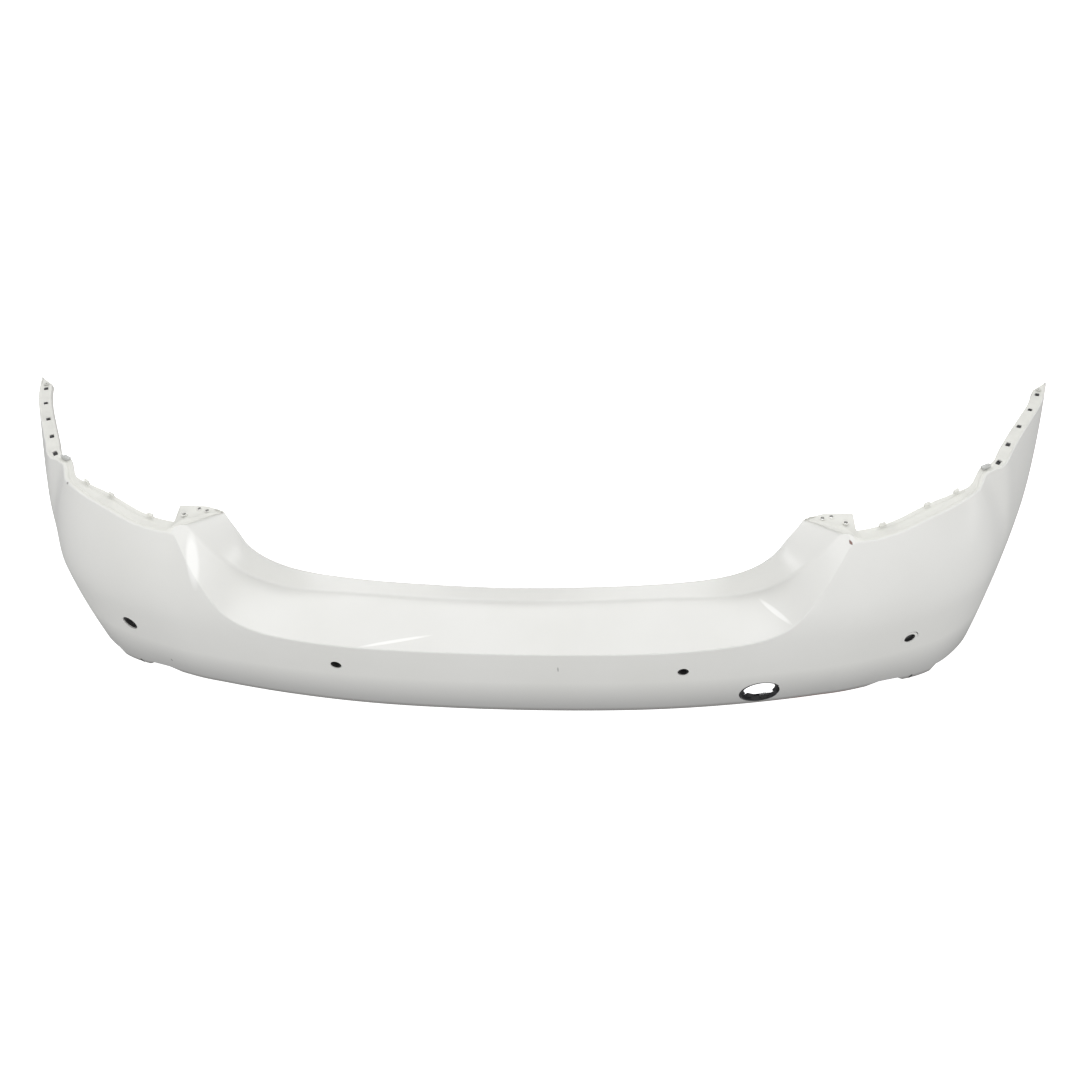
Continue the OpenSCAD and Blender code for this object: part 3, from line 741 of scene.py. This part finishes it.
def plastic_material(name, colour, worn, roughness=0.55, grain=1400.0):
    """Moulded plastic with a fine grain and rubbed, paler patches."""
    material, nodes, links, principled = shader(name, colour, roughness)
    cloud = noise(nodes, links, 60.0, 5.0)
    rubbed = ramp(nodes, links, cloud.outputs["Fac"], 0.45, 0.75)
    links.new(mixed(nodes, links, rubbed, colour, worn), principled.inputs["Base Color"])
    links.new(ramp(nodes, links, cloud.outputs["Fac"], 0.3, 0.8, roughness - 0.08, roughness + 0.1),
              principled.inputs["Roughness"])
    fine = noise(nodes, links, grain, 2.0)
    bump(nodes, links, principled, fine.outputs["Fac"], 0.25, 0.0002)
    return material


def steel_material(name, colour, roughness=0.35):
    """Spring steel with drawn lines and a few dull spots."""
    material, nodes, links, principled = shader(name, colour, roughness, Metallic=1.0)
    spots = noise(nodes, links, 140.0, 4.0)
    dull = tuple(c * 0.55 for c in colour)
    links.new(mixed(nodes, links, ramp(nodes, links, spots.outputs["Fac"], 0.5, 0.7), colour, dull),
              principled.inputs["Base Color"])
    lines = noise(nodes, links, 700.0, 3.0, (1, 1, 12))
    bump(nodes, links, principled, lines.outputs["Fac"], 0.2, 0.0002)
    return material


def set_material(obj, material):
    """Gives every face of a mesh one material."""
    obj.data.materials.clear()
    obj.data.materials.append(material)


# ---- the object ----

paint, flange = paint_material(), flange_material()
raw = plastic_material("raw_dark_plastic", (0.045, 0.045, 0.05), (0.08, 0.08, 0.085), 0.6, 700.0)
cover, tabs = moulding(), extras()
for piece in (cover, tabs):
    for material in (paint, flange, raw):       # in the order of the slots PAINT, FLANGE, RAW
        piece.data.materials.append(material)
combine(cover, tabs, "UNION")
combine(cover, cutters(), "DIFFERENCE")
combine(cover, tow_notch(), "DIFFERENCE")
clean(cover)
cover.data.set_sharp_from_angle(angle=math.radians(40))
weighted = cover.modifiers.new("normals", "WEIGHTED_NORMAL")
weighted.keep_sharp = True
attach(cover, "root")
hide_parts("cover_skin")

BLACK, BLACK_WORN = (0.02, 0.02, 0.022), (0.05, 0.05, 0.052)
black = plastic_material("black_moulded_plastic", BLACK, BLACK_WORN)
dusty = plastic_material("dusty_grey_plastic", (0.13, 0.135, 0.135), (0.26, 0.26, 0.255),
                         0.6, 600.0)
rubber = plastic_material("soft_seal_rubber", (0.015, 0.015, 0.015), (0.03, 0.03, 0.03), 0.7, 900.0)
grey = plastic_material("grey_moulded_plastic", (0.58, 0.59, 0.58), (0.66, 0.66, 0.64), 0.5)
pale = plastic_material("natural_plastic", (0.62, 0.62, 0.58), (0.7, 0.7, 0.66), 0.45)
spring = steel_material("plain_spring_steel", (0.55, 0.56, 0.57))
dull_steel = steel_material("phosphated_steel", (0.30, 0.31, 0.32), 0.5)
LOOKS = {
    "sensor_holder": black, "sensor_seal": rubber, "sensor_bezel": paint, "tow_eye_frame": black,
    "tow_eye_catch": spring, "quarter_guide": black, "tip_rivet": pale, "lamp_corner_clip": grey,
    "corner_clip_nut": black, "lower_edge_clip_nuts": dull_steel,
    "sensor_holder_outer_right": dusty,
}
for name, obj in NODES.items():
    for start, look in LOOKS.items():
        if name.startswith(start):
            set_material(obj, look)

# ---- stage ----

FLOOR_SIZE = 40.0
WORLD_BAND = (-0.75, -0.3)     # from here to here, as the sine of the elevation,
WORLD_LIGHT = (0.35, 0.56)     # the room brightens by this much


def make_floor():
    mesh = bpy.data.meshes.new("floor")
    h = FLOOR_SIZE / 2
    mesh.from_pydata([(-h, -h, 0), (h, -h, 0), (h, h, 0), (-h, h, 0)], [], [(0, 1, 2, 3)])
    floor = new_object("floor", mesh)
    material, _, _, principled = shader("pale_floor", (0.93, 0.93, 0.93), 0.9)
    principled.inputs["Emission Color"].default_value = (1, 1, 1, 1)
    principled.inputs["Emission Strength"].default_value = 1.0
    set_material(floor, material)
    floor.visible_diffuse = floor.visible_glossy = False


def area_light(name, place_m, aim, size, power):
    data = bpy.data.lights.new(name, "AREA")
    data.shape, data.size, data.size_y, data.energy = "RECTANGLE", size[0], size[1], power
    light = new_object(name, data)
    light.location = place_m
    light.rotation_euler = (Vector(aim) - Vector(place_m)).to_track_quat("-Z", "Y").to_euler()


def make_world():
    """A pale room: bright above, and darker towards the ground."""
    world = bpy.data.worlds.new("studio")
    world.use_nodes = True
    nodes, links = world.node_tree.nodes, world.node_tree.links
    nodes["Background"].inputs["Color"].default_value = (1, 1, 1, 1)
    where = nodes.new("ShaderNodeTexCoord")
    parts = nodes.new("ShaderNodeSeparateXYZ")
    links.new(where.outputs["Generated"], parts.inputs["Vector"])
    links.new(ramp(nodes, links, parts.outputs["Z"], *WORLD_BAND, *WORLD_LIGHT),
              nodes["Background"].inputs["Strength"])
    bpy.context.scene.world = world


CAMERA_AT = (0.2214, -1.4069, 1.5457)
CAMERA_TURNS = (-4.889, 44.594, -2.64)     # yaw, pitch down and roll, in degrees
SENSOR, LENS, SHIFT = 36, 38.09, -0.037


def make_camera():
    """A camera above and behind the cover, a little to the right, looking down at the shelf."""
    yaw, pitch, roll = (math.radians(angle) for angle in CAMERA_TURNS)
    right = Vector((math.cos(yaw), -math.sin(yaw), 0))
    ahead = Vector((math.sin(yaw) * math.cos(pitch), math.cos(yaw) * math.cos(pitch),
                    -math.sin(pitch)))
    up = right.cross(ahead)
    right, up = (math.cos(roll) * right + math.sin(roll) * up,
                 math.cos(roll) * up - math.sin(roll) * right)
    data = bpy.data.cameras.new("camera")
    data.sensor_width, data.lens = SENSOR, LENS
    data.shift_x = SHIFT
    camera = new_object("camera", data)
    turn = Matrix([[right[k], up[k], -ahead[k]] for k in range(3)])
    camera.matrix_world = Matrix.Translation(CAMERA_AT) @ turn.to_4x4()
    bpy.context.scene.camera = camera


make_floor()
area_light("overhead", (0, 1.2, 3.2), (0, 0, 0.1), (4.5, 2.4), 58)
area_light("front", (0, -4.5, 1.1), (0, 0, 0.1), (5.0, 1.4), 75)
area_light("right", (4.2, 0.3, 1.0), (0.5, 0, 0.15), (3.0, 1.4), 18)
area_light("left", (-4.2, 0.3, 1.0), (-0.5, 0, 0.15), (3.0, 1.4), 2)
make_world()
bpy.context.scene.view_settings.view_transform = "Standard"
make_camera()
